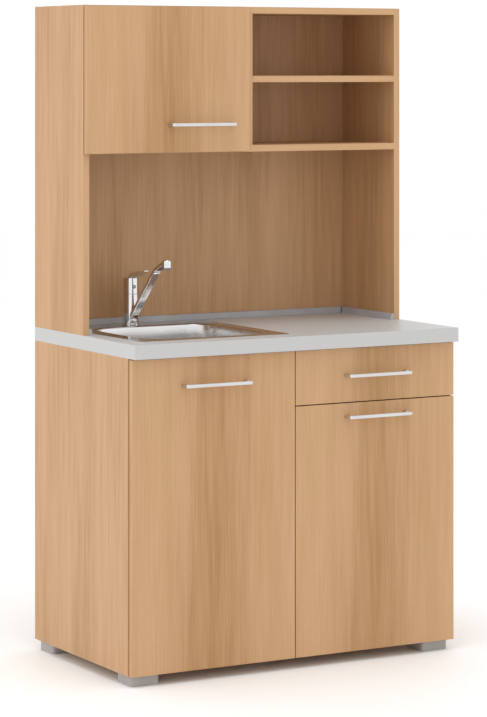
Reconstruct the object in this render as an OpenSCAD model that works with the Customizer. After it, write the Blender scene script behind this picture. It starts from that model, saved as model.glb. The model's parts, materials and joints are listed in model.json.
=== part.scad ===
// Kitchenette: a lower cabinet with doors and a drawer, a worktop with an inset sink and mixer tap,
// and a shallower upper cabinet that stands on the worktop.
// Millimetres, +Z up. The origin is on the floor, under the middle of the outer box; -Y is the front.

/* [Lower cabinet] */
// Width over the side boards
unit_w = 1000; // [900:10:1200]
// Depth of the side boards
case_d = 560; // [540:5:620]
// Height of the feet
foot_h = 28; // [20:1:60]
// Height of the boards between the feet and the worktop
case_h = 822; // [790:2:860]
// Thickness of every board of both cabinets
board_t = 18; // [16:1:19]
// How far the back boards stand in from the rear edge
back_inset = 4; // [2:1:10]
// Clear width of the cupboard under the sink
left_bay_w = 464; // [448:1:520]
// Width and depth of a foot
foot_w = 83; // [50:1:90]
// Corner radius of a foot
foot_r = 10; // [4:1:20]
// Distance from the cabinet's side to a foot
foot_side_inset = 10; // [4:1:40]
// Distance from the rear edge to the rear feet
foot_rear_inset = 10; // [0:1:60]
// Height of the rails that stand on edge beside the sink
rail_h = 80; // [50:2:90]
// Depth of the rails that lie flat over the drawer
rail_d = 80; // [50:2:90]
// Height of the loose shelf's upper face over the bottom board
shelf_rise = 310; // [200:5:420]
// How far the shelves stand back from the front edges
shelf_setback = 20; // [2:1:60]
// Width of the opening for the pipes in the back board
service_w = 340; // [200:5:360]
// Height of the opening for the pipes
service_h = 320; // [150:5:340]
// Bottom of the opening for the pipes over the bottom board
service_rise = 284; // [200:5:320]

/* [Worktop] */
// Thickness of the worktop
worktop_t = 38; // [28:1:40]
// How far the worktop stands out over the cabinet's front edge
overhang = 40; // [25:1:50]
// Height of the strip round the back and sides of the worktop
upstand_h = 17; // [12:1:30]
// Thickness of the strip at its foot
upstand_t = 12; // [8:1:20]
// Thickness of the strip along its top
upstand_top_t = 7; // [3:1:8]

/* [Upper cabinet] */
// Height from the worktop to the top
hutch_h = 882; // [820:2:1000]
// Depth of its side boards
hutch_d = 300; // [260:5:340]
// Height of the open space over the worktop
niche_h = 483; // [440:1:520]
// Left side of the open shelves, from the middle
open_x = 20; // [-20:1:60]
// Height of the lower open shelf space
open_low_h = 173; // [140:1:200]
// How far the upper door laps onto the upright beside the open shelves
door_lap = 14; // [8:1:16]
// Bore radius of the two wall screws in the back board
wall_hole_r = 3; // [2:0.5:4]
// Distance of the wall screws from the uprights
wall_hole_inset = 42; // [25:1:80]
// Distance of the wall screws below the top board
wall_hole_drop = 27; // [15:1:40]

/* [Fronts] */
// Thickness of the doors and the drawer front
front_t = 18; // [16:1:19]
// Space between a front and the board edges behind it
front_gap = 2; // [1.8:0.1:3]
// Joint between two fronts
joint_w = 3; // [2:0.5:4]
// How far the lower fronts stand in from the cabinet's sides
side_reveal = 3; // [2:0.5:4]
// Space between the lower fronts and the worktop
top_reveal = 3; // [2:0.5:5]
// How far the lower fronts stand over the bottom edge of the boards
bottom_reveal = 1.5; // [1:0.5:4]
// Space round the upper door inside the upper cabinet's outline
upper_reveal = 2; // [2:0.5:4]
// Height of the drawer front
drawer_front_h = 145; // [135:1:160]

/* [Handles] */
// Length of a handle
handle_len = 200; // [128:1:260]
// Height of the bar
handle_h = 9; // [8:1:16]
// Thickness of the bent bar
handle_t = 6; // [4:0.5:8]
// Outer radius of the bends
handle_bend_r = 7; // [3:0.5:8]
// How far a handle stands out from the front
handle_reach = 32; // [26:1:40]
// Distance from the right lower door's top to the middle of its handle
right_handle_drop = 35.5; // [25:0.5:60]
// Distance from the upper door's bottom to the middle of its handle
upper_handle_rise = 75; // [40:1:120]
// Distance from the upper door's free edge to its handle
upper_handle_inset = 53; // [30:1:90]
// Radius of the screws in the handle's feet
handle_screw_r = 2; // [1.5:0.1:2.2]
// Radius of a handle screw's head
handle_head_r = 4; // [3.5:0.1:4.5]

/* [Hinges] */
// Radius of a hinge cup
cup_r = 17.4; // [16:0.1:17.5]
// Depth of a hinge cup
cup_depth = 12; // [10:0.5:13]
// Distance from the door's edge to the middle of a cup
cup_inset = 26; // [24:0.5:30]
// Distance from the ends of a lower door to its hinges
hinge_end = 100; // [70:1:140]
// Distance from the ends of the upper door to its hinges
upper_hinge_end = 80; // [60:1:110]

/* [Drawer] */
// Depth of the drawer's sides
drawer_d = 450; // [380:5:480]
// Height of the drawer's sides
drawer_h = 90; // [60:1:95]
// Thickness of the drawer's boards
drawer_t = 12; // [10:0.5:15]
// Thickness of the drawer's bottom
drawer_floor_t = 6; // [4:0.5:8]
// Space for a runner on each side of the drawer
runner_space = 12.7; // [12.5:0.1:14]
// Height of a runner's outer channel
runner_h = 45; // [35:1:50]

/* [Sink] */
// Width of the sink's rim
sink_w = 450; // [430:1:460]
// Depth of the sink's rim, front to back
sink_d = 470; // [460:1:480]
// Distance from the left side board's inner face to the sink's rim
sink_side = 33; // [26:1:36]
// Distance from the cabinet's front edge to the sink's rim
sink_front = 18; // [16:1:28]
// Height of the raised rim
rim_h = 1.8; // [1.5:0.1:3]
// Corner radius of the rim
rim_r = 14; // [8:1:25]
// Width and depth of the bowl
bowl_w = 360; // [330:1:366]
// Corner radius of the bowl
bowl_r = 60; // [40:1:80]
// Depth of the bowl
bowl_depth = 150; // [130:1:180]
// Width of the rim in front of the bowl
front_land = 44; // [40:1:50]
// Thickness of the sink's sheet
sheet_t = 1.2; // [0.8:0.1:1.5]
// Radius of the waste hole
waste_r = 45; // [40:0.5:50]
// Outer radius of the waste pipes
pipe_r = 20; // [16:0.5:25]

/* [Tap] */
// Radius of the tap's body
tap_r = 23; // [20:0.5:25]
// Height of the turning body, with the base ring, up to the lever head
tap_body_h = 87; // [75:1:110]
// Height of the lever head
tap_head_h = 45; // [38:1:55]
// How far the tap stands to the left of the sink's middle
tap_left = 34; // [0:1:60]
// Distance from the rear edge of the sink's rim to the tap
tap_rear = 33; // [32:1:36]
// Reach of the spout, from the tap's middle to the outlet's middle
spout_reach = 214; // [150:1:225]
// Height of the outlet's underside over the sink's rim
outlet_h = 166; // [130:1:200]
// Height of the spout's root over the sink's rim
spout_root = 19; // [14:1:40]
// Width of the spout
spout_w = 23; // [14:0.5:23.5]
// Thickness of the spout
spout_t = 10; // [8:0.5:15]
// Radius of the outlet
outlet_r = 12.5; // [12:0.5:14]
// Length of the lever from the tap's middle
lever_len = 95; // [70:1:110]
// Width of the lever
lever_w = 13; // [10:0.5:14]
// Radius of the tap's inlet pipes
inlet_r = 5; // [4:0.5:6]

/* [Hidden] */
$fn = 64;

beech = "burlywood";
steel = "silver";

fit = 0.05;       // radial clearance of a pin or shaft in its hole
loose = 0.5;      // clearance of a loose shelf at each end
skin = 0.3;       // least space between a fixed and a moving piece

// Depths, front to back
y_back = (case_d + front_gap + front_t + handle_reach) / 2;
y_case = y_back - case_d;
y_front = y_case - front_gap - front_t;
y_board = y_back - back_inset - board_t;
y_hutch = y_back - hutch_d;
y_hutch_front = y_hutch - front_gap - front_t;

// Heights
z_case = foot_h;
z_bottom = z_case + board_t;
z_worktop = z_case + case_h;
z_top = z_worktop + worktop_t;
z_upper = z_top + niche_h;
z_upper_floor = z_upper + board_t;
z_hutch_top = z_top + hutch_h;
z_mid_shelf = z_upper_floor + open_low_h;

// Widths
x_out = unit_w / 2;
x_in = x_out - board_t;
x_part = -x_in + left_bay_w;
x_bay = x_part + board_t;
split_x = (x_part + x_bay) / 2;
x_upright = open_x - 2 * board_t;
x_upper_door = x_upright + door_lap;

// Fronts: [left, right, bottom, top, front face]
z_fronts = z_case + bottom_reveal;
z_fronts_top = z_worktop - top_reveal;
z_drawer = z_fronts_top - drawer_front_h;
left_door = [-x_out + side_reveal, split_x - joint_w / 2, z_fronts, z_fronts_top, y_front];
right_door = [split_x + joint_w / 2, x_out - side_reveal, z_fronts, z_drawer - joint_w, y_front];
drawer_face = [right_door[0], right_door[1], z_drawer, z_fronts_top, y_front];
upper_door = [-x_out + upper_reveal, x_upper_door, z_upper + upper_reveal, z_hutch_top - upper_reveal,
              y_hutch_front];

// Handles: [middle x, middle z, face y]
z_drawer_handle = (drawer_face[2] + drawer_face[3]) / 2;
left_handle = [(left_door[0] + left_door[1]) / 2, z_drawer_handle, y_front];
right_handle = [(right_door[0] + right_door[1]) / 2, right_door[3] - right_handle_drop, y_front];
drawer_handle = [(drawer_face[0] + drawer_face[1]) / 2, z_drawer_handle, y_front];
upper_handle = [upper_door[1] - upper_handle_inset - handle_len / 2, upper_door[2] + upper_handle_rise,
                y_hutch_front];
handle_foot_t = handle_t + 6;
handle_foot_d = 14;
handle_screw_x = (handle_len - handle_foot_t) / 2;

// Hinges
cup_wall = 1.2;
cup_plate = [24, 1.2, 56];
arm_plate = [1.5, 36, 44];
arm_size = [13, 52, 14];

// Sink, worktop cut-out and waste
sink_x = -x_in + sink_side + sink_w / 2;
sink_mid = [sink_x, y_case + sink_front + sink_d / 2];
bowl_mid = [sink_x, y_case + sink_front + front_land + bowl_w / 2];
cutout_margin = 8;
bowl_floor = z_top - bowl_depth;
basket_r = waste_r - 6;
cup_drop = 52;
spigot_r = pipe_r - 3;
z_spigot = bowl_floor - cup_drop - 30;
bottle_r = 36;
bottle_h = 95;
z_bottle = z_spigot - 34 - bottle_h;
z_outlet = z_bottle + bottle_h - pipe_r - 6;
outlet_end = y_board - 34;

// Tap
tap_xy = [sink_x - tap_left, sink_mid[1] + sink_d / 2 - tap_rear];
z_rim = z_top + rim_h;
base_ring_h = 6.5;
core_r = 17;
shank_r = 16;
shank_len = 62;
inlet_len = 70;
z_head = tap_body_h + 0.4;
z_tap_top = z_head + tap_head_h;
pivot = [4, z_tap_top - 10];
pivot_r = 3;
pin_half = tap_r - 5;
index_r = 5;
index_z = z_head + 0.45 * tap_head_h;

// Drawer: the box stands in the right bay, behind the drawer front
box_left = x_bay + runner_space;
box_right = x_in - runner_space;
box_front = y_front + front_t;
box_back = y_case + drawer_d;
z_box = z_drawer + 20;
z_box_floor = z_box + 8;
z_runner = z_box + 0.4 * drawer_h;

// Joints of the boards
dowel_r = 4;
dowel_len = 30;
dowel_bite = 10;
cam_r = 7.5;
cam_depth = 13;
cam_reach = 34;
bolt_r = 3;
pin_r = 2.5;
pin_bite = 8;

// ---- Helpers ----

// A box from its low to its high corner
module slab(low, high) {
    translate(low) cube(high - low);
}

// A flat shape with four round corners
module rounded(w, d, r) {
    square([w - 2 * r, d], center = true);
    square([w, d - 2 * r], center = true);
    for (sx = [-1, 1], sy = [-1, 1])
        translate([sx * (w / 2 - r), sy * (d / 2 - r)]) circle(r);
}

// A cylinder along X, from x on
module bar_x(x, y, z, r, len) {
    translate([x, y, z]) rotate([0, 90, 0]) cylinder(h = len, r = r);
}

// A cylinder along Y, from y on
module bar_y(x, y, z, r, len) {
    translate([x, y, z]) rotate([-90, 0, 0]) cylinder(h = len, r = r);
}

// The block of a front, without its bores
module front_block(f) {
    slab([f[0], f[4], f[2]], [f[1], f[4] + front_t, f[3]]);
}

// ---- Feet ----

module foot(sx, y) {
    color("darkgray")
        translate([sx * (x_out - foot_side_inset - foot_w / 2), y + foot_w / 2, 0])
            linear_extrude(foot_h) rounded(foot_w, foot_w, foot_r);
}

y_foot_front = y_case;
y_foot_rear = y_back - foot_rear_inset - foot_w;

module foot_front_left() foot(-1, y_foot_front);
module foot_front_right() foot(1, y_foot_front);
module foot_rear_left() foot(-1, y_foot_rear);
module foot_rear_right() foot(1, y_foot_rear);

// ---- Fixings shared by several boards ----

// Places of the fixings along the depth of the base bottom and of the upper boards
base_dowel_ys = [for (k = [0.12, 0.5, 0.88]) y_case + k * (y_board - y_case)];
base_cam_ys = [for (k = [0.22, 0.78]) y_case + k * (y_board - y_case)];
hutch_dowel_ys = [for (k = [0.15, 0.85]) y_hutch + k * (y_board - y_hutch)];
hutch_cam_ys = [for (k = [0.3, 0.7]) y_hutch + k * (y_board - y_hutch)];
z_hutch_boards = [z_upper + board_t / 2, z_hutch_top - board_t / 2];

// A dowel across the joint at x, running along X
module dowel_at(sx, y, z, r, grow = 0) {
    start = sx * x_in - (sx > 0 ? dowel_len - dowel_bite + grow : dowel_bite + grow);
    bar_x(start, y, z, r, dowel_len + 2 * grow);
}

module dowels_set(r, grow) {
    for (sx = [-1, 1]) {
        for (y = base_dowel_ys) dowel_at(sx, y, z_case + board_t / 2, r, grow);
        for (y = hutch_dowel_ys, z = z_hutch_boards) dowel_at(sx, y, z, r, grow);
        for (y = hutch_dowel_ys)
            translate([sx * (x_out - board_t / 2), y, z_top - dowel_len / 2 - grow])
                cylinder(h = dowel_len + 2 * grow, r = r);
    }
}

// A cam disc with its bolt: up is 1 where the disc sits in the board's upper face
module cam_at(sx, y, z, up, play) {
    face = z + up * board_t / 2;
    centre = sx * (x_in - cam_reach);
    translate([centre, y, up > 0 ? face - cam_depth : face]) cylinder(h = cam_depth, r = cam_r + play);
    start = sx > 0 ? centre : -x_in - dowel_bite;
    bar_x(start, y, z, bolt_r + play, cam_reach + dowel_bite);
}

module cams_set(play) {
    for (sx = [-1, 1]) {
        for (y = base_cam_ys) cam_at(sx, y, z_case + board_t / 2, -1, play);
        for (y = hutch_cam_ys) cam_at(sx, y, z_hutch_boards[0], -1, play);
        for (y = hutch_cam_ys) cam_at(sx, y, z_hutch_boards[1], 1, play);
    }
}

module fixing_bores() {
    dowels_set(dowel_r + fit, 0.5);
    cams_set(fit);
}

module dowels() color(beech) dowels_set(dowel_r, 0);
module cam_locks() color(steel) cams_set(0);

// Shelf pins: two on each end of a loose shelf
z_base_shelf = z_bottom + shelf_rise;
base_pin_ys = [y_case + shelf_setback + 50, y_board - 60];
hutch_pin_ys = [y_hutch + 45, y_board - 45];

module shelf_pin(x, dir, y, z, play) {
    bar_x(dir > 0 ? x - pin_bite - play : x - pin_bite, y, z, pin_r + play, 2 * pin_bite + play);
}

module pins_set(play) {
    z_low = z_base_shelf - board_t - pin_r;
    z_high = z_mid_shelf - pin_r;
    for (y = base_pin_ys) {
        shelf_pin(x_bay, 1, y, z_low, play);
        shelf_pin(x_in, -1, y, z_low, play);
    }
    for (y = hutch_pin_ys) {
        shelf_pin(-x_in, 1, y, z_high, play);
        shelf_pin(x_upright, -1, y, z_high, play);
    }
}

module shelf_pins() color(steel) pins_set(0);

// ---- Lower cabinet ----

module base_side(sx) {
    color(beech) difference() {
        slab([sx > 0 ? x_in : -x_out, y_case, z_case], [sx > 0 ? x_out : -x_in, y_back, z_worktop]);
        fixing_bores();
        pins_set(fit);
    }
}

module base_side_left() base_side(-1);
module base_side_right() base_side(1);

module base_bottom() {
    color(beech) difference() {
        slab([-x_in, y_case, z_case], [x_in, y_board, z_bottom]);
        fixing_bores();
    }
}

module base_partition() {
    color(beech) difference() {
        slab([x_part, y_case, z_bottom], [x_bay, y_board, z_worktop]);
        pins_set(fit);
    }
}

module base_back() {
    x0 = sink_x - service_w / 2;
    z0 = z_bottom + service_rise;
    color(beech) difference() {
        slab([-x_in, y_board, z_case], [x_in, y_board + board_t, z_worktop]);
        slab([x0, y_board - 1, z0], [x0 + service_w, y_board + board_t + 1, z0 + service_h]);
    }
}

// On edge beside the sink, flat over the drawer
module base_rails_front() {
    color(beech) {
        slab([-x_in, y_case, z_worktop - rail_h], [x_part, y_case + board_t, z_worktop]);
        slab([x_bay, y_case, z_worktop - board_t], [x_in, y_case + rail_d, z_worktop]);
    }
}

module base_rails_rear() {
    color(beech) {
        slab([-x_in, y_board - board_t, z_worktop - rail_h], [x_part, y_board, z_worktop]);
        slab([x_bay, y_board - rail_d, z_worktop - board_t], [x_in, y_board, z_worktop]);
    }
}

module base_shelf() {
    color(beech)
        slab([x_bay + loose, y_case + shelf_setback, z_base_shelf - board_t],
             [x_in - loose, y_board - loose, z_base_shelf]);
}

// ---- Worktop ----

module worktop() {
    color("gainsboro") difference() {
        slab([-x_out, y_case - overhang, z_worktop], [x_out, y_back, z_top]);
        translate([sink_mid[0], sink_mid[1], z_worktop - 1])
            linear_extrude(worktop_t + 2)
                rounded(sink_w - 2 * cutout_margin, sink_d - 2 * cutout_margin, rim_r);
        dowels_set(dowel_r + fit, 0.5);
    }
}

// The strip's section, leaning back from its foot: x is its thickness, y its height
module upstand_section() {
    polygon([[0, 0], [upstand_t, 0], [upstand_top_t, upstand_h], [0, upstand_h]]);
}

module upstand_side(sx) {
    mirror([sx > 0 ? 1 : 0, 0, 0])
        difference() {
            translate([-x_in, y_board, z_top]) rotate([90, 0, 0])
                linear_extrude(y_board - y_hutch) upstand_section();
            translate([-x_in, y_board, z_top - 1]) rotate([0, 0, -45])
                translate([0, -1, 0]) cube([60, 60, upstand_h + 2]);
        }
}

module upstand() {
    color("lightgray") {
        for (sx = [-1, 1]) upstand_side(sx);
        difference() {
            translate([-x_in, y_board, z_top]) rotate([90, 0, 90])
                linear_extrude(2 * x_in) mirror([1, 0]) upstand_section();
            for (sx = [-1, 1])
                translate([sx * x_in, y_board, z_top - 1]) rotate([0, 0, sx > 0 ? -135 : -45])
                    translate([0, sx > 0 ? -1 : -60 + 1, 0]) cube([60, 60, upstand_h + 2]);
        }
    }
}

// ---- Sink and waste ----

// The bowl's body: grow widens it by the sheet, lift starts it above or below the worktop
module bowl_body(grow, lift) {
    // Each step: height under the worktop, half of what the width loses, corner radius
    steps = [[-lift, 0, bowl_r], [bowl_depth - 26, 5, bowl_r - 4],
             [bowl_depth - 8, 14, bowl_r - 14], [bowl_depth, 28, bowl_r - 26]];
    hull()
        for (s = steps)
            translate([bowl_mid[0], bowl_mid[1], z_top - s[0] - (s[1] > 20 ? grow : 0)])
                linear_extrude(0.2)
                    rounded(bowl_w - 2 * s[1] + 2 * grow, bowl_w - 2 * s[1] + 2 * grow, s[2] + grow);
}

module sink() {
    color("lightsteelblue") difference() {
        union() {
            translate([sink_mid[0], sink_mid[1], z_top]) hull() {
                linear_extrude(0.4) rounded(sink_w, sink_d, rim_r);
                translate([0, 0, rim_h - 0.2])
                    linear_extrude(0.2) rounded(sink_w - 10, sink_d - 10, rim_r - 4);
            }
            bowl_body(sheet_t, 0);
        }
        bowl_body(0, rim_h + 1);
        translate([bowl_mid[0], bowl_mid[1], bowl_floor - 5]) cylinder(h = 10, r = waste_r);
        translate([tap_xy[0], tap_xy[1], z_top - 5]) cylinder(h = 10, r = shank_r + 1);
    }
}

// A clip that pulls the rim down on the worktop, with its leg just inside the cut-out's edge
module sink_clip(angle, reach, along) {
    leg_t = 2;
    clip_w = 20;
    tongue = 8;
    edge = reach - cutout_margin - 3;
    translate([sink_mid[0], sink_mid[1], 0]) rotate(angle) translate([edge, along, 0]) {
        slab([-leg_t, -clip_w / 2, z_worktop - leg_t], [0, clip_w / 2, z_top]);
        slab([0, -clip_w / 2, z_worktop - leg_t], [tongue, clip_w / 2, z_worktop]);
    }
}

// Two on the left, two in front and two behind; the partition leaves no room on the right
module sink_clips() {
    color(steel) for (k = [-1, 1]) {
        sink_clip(180, sink_w / 2, k * 0.3 * sink_d);
        sink_clip(-90, sink_d / 2, k * 0.3 * sink_w);
        sink_clip(90, sink_d / 2, k * 0.3 * sink_w);
    }
}

flange_t = 2;
nut_t = 12;

module waste_body() {
    color(steel) translate([bowl_mid[0], bowl_mid[1], 0]) difference() {
        union() {
            translate([0, 0, bowl_floor]) cylinder(h = flange_t, r = waste_r + 9);
            translate([0, 0, bowl_floor - cup_drop]) cylinder(h = cup_drop, r = waste_r - fit);
            translate([0, 0, z_spigot]) cylinder(h = bowl_floor - cup_drop - z_spigot, r = spigot_r);
        }
        translate([0, 0, bowl_floor - cup_drop + 3]) cylinder(h = cup_drop + 10, r = waste_r - 3);
        translate([0, 0, z_spigot - 1]) cylinder(h = cup_drop, r = spigot_r - 2);
    }
}

module waste_nut() {
    color("whitesmoke") translate([bowl_mid[0], bowl_mid[1], bowl_floor - sheet_t - nut_t])
        difference() {
            cylinder(h = nut_t, r = waste_r + 8);
            translate([0, 0, -1]) cylinder(h = nut_t + 2, r = waste_r + fit);
        }
}

// A perforated cup with a knob, which lifts out of the waste
module strainer_basket() {
    floor_z = bowl_floor - cup_drop + 3 + skin;
    hole_r = 3;
    color(steel) translate([bowl_mid[0], bowl_mid[1], 0]) difference() {
        union() {
            translate([0, 0, floor_z]) cylinder(h = bowl_floor - floor_z - 2, r = basket_r);
            translate([0, 0, bowl_floor - 2]) cylinder(h = 2, r = basket_r + 2.5);
        }
        difference() {
            translate([0, 0, floor_z + 2]) cylinder(h = cup_drop, r = basket_r - 1.5);
            cylinder(h = bowl_floor - 6, r = 3);
            translate([0, 0, bowl_floor - 14]) cylinder(h = 8, r = 8);
        }
        for (a = [0:45:315], r = [0.42, 0.76])
            rotate(a) translate([r * basket_r, 0, floor_z - 1]) cylinder(h = 4, r = hole_r);
    }
}

// Inlet pipe and nut, bottle, and the outlet pipe that a drain hose or wall pipe takes
module trap() {
    color("whitesmoke") translate([bowl_mid[0], bowl_mid[1], 0]) difference() {
        union() {
            translate([0, 0, z_bottle + 20]) cylinder(h = z_spigot + 22 - z_bottle - 20, r = pipe_r);
            translate([0, 0, z_spigot - 2]) cylinder(h = 24, r = pipe_r + 7);
            translate([0, 0, z_bottle]) cylinder(h = bottle_h, r = bottle_r);
            translate([0, 0, z_bottle]) cylinder(h = 18, r = bottle_r + 3);
            bar_y(0, 0, z_outlet, pipe_r, outlet_end - bowl_mid[1]);
            bar_y(0, bottle_r - 4, z_outlet, pipe_r + 6, 26);
        }
        difference() {
            translate([0, 0, z_bottle + 4]) cylinder(h = bottle_h - 8, r = bottle_r - 3);
            translate([0, 0, z_bottle + 20]) cylinder(h = bottle_h, r = pipe_r);
        }
        translate([0, 0, z_bottle + 18]) cylinder(h = z_spigot + 30 - z_bottle, r = spigot_r + fit);
        bar_y(0, bottle_r - 8, z_outlet, pipe_r - 2, outlet_end - bowl_mid[1]);
    }
}

// ---- Tap ----

module at_tap() {
    translate([tap_xy[0], tap_xy[1], z_rim]) children();
}

module tap_base_ring() {
    color(steel) at_tap() difference() {
        cylinder(h = base_ring_h, r = tap_r + 1);
        translate([0, 0, -1]) cylinder(h = base_ring_h + 2, r = core_r + fit);
    }
}

// The fixed core: a shank through the sink's ledge, and the post that the body and head turn on
module tap_core() {
    color("goldenrod") at_tap() {
        cylinder(h = z_head + 0.5 * tap_head_h - 12, r = core_r);
        translate([0, 0, -shank_len]) cylinder(h = shank_len, r = shank_r);
    }
}

module tap_shank_nut() {
    washer_t = 3;
    color("goldenrod") translate([tap_xy[0], tap_xy[1], z_top]) difference() {
        union() {
            translate([0, 0, -washer_t]) cylinder(h = washer_t, r = shank_r + 7);
            translate([0, 0, -washer_t - 10]) cylinder(h = 10, r = shank_r + 6, $fn = 6);
        }
        translate([0, 0, -washer_t - 11]) cylinder(h = washer_t + 12, r = shank_r + fit);
    }
}

// Hot and cold pipes under the shank
module tap_inlets() {
    color("peru") at_tap()
        for (sx = [-1, 1])
            translate([sx * (shank_r - inlet_r), 0, -shank_len - inlet_len])
                cylinder(h = inlet_len, r = inlet_r);
}

// Spout's side outline: x is the distance in front of the tap's middle, y the height over the rim
spout_top = outlet_h + 27;
spout_knee = [spout_reach - 57, spout_top - 31];

// A straight length of the spout, from one point of its middle line to another
module spout_bar(from, to) {
    run = to - from;
    translate(from) rotate(atan2(run[1], run[0])) translate([0, -spout_t / 2]) square([norm(run), spout_t]);
}

module spout_outline() {
    spout_bar([tap_r / 2, spout_root], spout_knee);
    translate(spout_knee) circle(spout_t / 2);
    spout_bar(spout_knee, [spout_reach, spout_top - 6]);
}

module tap_spout() {
    aerator_h = 4;
    color(steel) at_tap() difference() {
        union() {
            translate([0, 0, base_ring_h + 0.3]) cylinder(h = tap_body_h - base_ring_h - 0.3, r = tap_r);
            rotate([90, 0, -90]) translate([0, 0, -spout_w / 2])
                linear_extrude(spout_w) spout_outline();
            translate([0, -spout_reach, outlet_h + aerator_h])
                cylinder(h = spout_top - outlet_h - aerator_h, r = outlet_r);
        }
        translate([0, 0, base_ring_h]) cylinder(h = tap_body_h, r = core_r + fit);
    }
}

module tap_aerator() {
    color("gray") at_tap() translate([0, -spout_reach, outlet_h]) difference() {
        cylinder(h = 4, r = outlet_r - 1.5);
        translate([0, 0, -1]) cylinder(h = 3, r = outlet_r - 4);
    }
}

// The turning head: bored for the core, slotted for the lever, cross-bored for its pin
module tap_head() {
    color(steel) at_tap() difference() {
        union() {
            translate([0, 0, z_head]) cylinder(h = tap_head_h - 2, r = tap_r);
            translate([0, 0, z_tap_top - 2]) cylinder(h = 2, r1 = tap_r, r2 = tap_r - 2);
        }
        translate([0, 0, z_head - 1]) cylinder(h = 0.5 * tap_head_h - 11 + skin + 1, r = core_r + fit);
        slab([-lever_w / 2 - skin, -18, pivot[1] - 10], [lever_w / 2 + skin, 12, z_tap_top + 1]);
        bar_x(-pin_half - skin, -pivot[0], pivot[1], pivot_r + fit, 2 * (pin_half + skin));
        bar_y(0, -tap_r - 1, index_z, index_r + fit, 3.5);
    }
}

module tap_index() {
    color("firebrick") at_tap() bar_y(0, -tap_r, index_z, index_r, 2.4);
}

// Lever's side outline, in the same plane as the spout's
lever_outline = [
    [-3, -4], [-3, 14], [4, 20], [0.4 * lever_len, 29], [lever_len, 35], [lever_len, 31.5],
    [0.78 * lever_len, 24], [0.52 * lever_len, 14], [0.4 * lever_len, 12.2], [11, 12.2], [11, -4]
];

module tap_lever() {
    color(steel) at_tap() {
        translate([0, 0, pivot[1]]) rotate([90, 0, -90]) translate([0, 0, -lever_w / 2])
            linear_extrude(lever_w) polygon(lever_outline);
        bar_x(-pin_half, -pivot[0], pivot[1], pivot_r, 2 * pin_half);
    }
}

// ---- Upper cabinet ----

module hutch_side(sx) {
    color(beech) difference() {
        slab([sx > 0 ? x_in : -x_out, y_hutch, z_top], [sx > 0 ? x_out : -x_in, y_back, z_hutch_top]);
        fixing_bores();
        pins_set(fit);
    }
}

module hutch_side_left() hutch_side(-1);
module hutch_side_right() hutch_side(1);

module hutch_board(z) {
    color(beech) difference() {
        slab([-x_in, y_hutch, z], [x_in, y_board, z + board_t]);
        fixing_bores();
    }
}

module hutch_top() hutch_board(z_hutch_top - board_t);
module hutch_bottom() hutch_board(z_upper);

module hutch_upright(x) {
    color(beech) difference() {
        slab([x, y_hutch, z_upper_floor], [x + board_t, y_board, z_hutch_top - board_t]);
        pins_set(fit);
    }
}

module hutch_upright_left() hutch_upright(x_upright);
module hutch_upright_right() hutch_upright(x_upright + board_t);

module hutch_shelf_open() {
    color(beech) slab([open_x, y_hutch, z_mid_shelf], [x_in, y_board, z_mid_shelf + board_t]);
}

module hutch_shelf_closed() {
    color(beech)
        slab([-x_in + loose, y_hutch + shelf_setback, z_mid_shelf],
             [x_upright - loose, y_board - loose, z_mid_shelf + board_t]);
}

wall_holes_x = [-x_in + wall_hole_inset, x_upright - wall_hole_inset];
z_wall_holes = z_hutch_top - board_t - wall_hole_drop;

module hutch_back() {
    color(beech) difference() {
        slab([-x_in, y_board, z_top], [x_in, y_board + board_t, z_hutch_top]);
        for (x = wall_holes_x) bar_y(x, y_board - 1, z_wall_holes, wall_hole_r, board_t + 2);
    }
}

// ---- Fronts, handles and hinges ----

// Screw bores of a handle through a front; the heads sit in the front's back
module handle_bores(h) {
    for (sx = [-1, 1]) {
        bar_y(h[0] + sx * handle_screw_x, h[2] - 1, h[1], handle_screw_r + 0.25, front_t + 2);
        bar_y(h[0] + sx * handle_screw_x, h[2] + front_t - 3.2, h[1], handle_head_r + 0.3, 5);
    }
}

// The bent bar from above: a U with round outer corners and thicker feet
module handle_plan() {
    w = handle_len / 2;
    r = handle_bend_r;
    difference() {
        union() {
            translate([-w, r - handle_reach]) square([2 * w, handle_reach - r]);
            translate([r - w, -handle_reach]) square([2 * (w - r), handle_reach]);
            for (sx = [-1, 1]) translate([sx * (w - r), r - handle_reach]) circle(r);
        }
        translate([handle_t - w, handle_t - handle_reach])
            square([2 * (w - handle_t), handle_reach]);
    }
    for (sx = [-1, 1])
        translate([sx * handle_screw_x - handle_foot_t / 2, -handle_foot_d])
            square([handle_foot_t, handle_foot_d]);
}

// A handle with the two screws that hold it through the front
module handle(h) {
    bite = handle_foot_d - 3;
    head_h = 2.5;
    color("white") translate([h[0], h[2], h[1]]) {
        difference() {
            translate([0, 0, -handle_h / 2]) linear_extrude(handle_h) handle_plan();
            for (sx = [-1, 1])
                bar_y(sx * handle_screw_x, -bite, 0, handle_screw_r + fit, bite + 1);
        }
        for (sx = [-1, 1]) {
            bar_y(sx * handle_screw_x, 0.5 - bite, 0, handle_screw_r, bite + front_t - 1 - head_h);
            bar_y(sx * handle_screw_x, front_t - 0.5 - head_h, 0, handle_head_r, head_h);
        }
    }
}

module handle_door_left() handle(left_handle);
module handle_door_right() handle(right_handle);
module handle_door_upper() handle(upper_handle);
module handle_drawer() handle(drawer_handle);

// Hinge places of a door: side is -1 for hinges on its left edge
function hinge_x(f, side) = side < 0 ? f[0] + cup_inset : f[1] - cup_inset;
function hinge_zs(f, end) = [f[2] + end, f[3] - end];

module cup_bores(f, side, end) {
    for (z = hinge_zs(f, end))
        bar_y(hinge_x(f, side), f[4] + front_t - cup_depth - 0.5, z, cup_r + fit, cup_depth + 1);
}

module door(f, side, end, h) {
    color(beech) difference() {
        front_block(f);
        cup_bores(f, side, end);
        handle_bores(h);
    }
}

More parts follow.
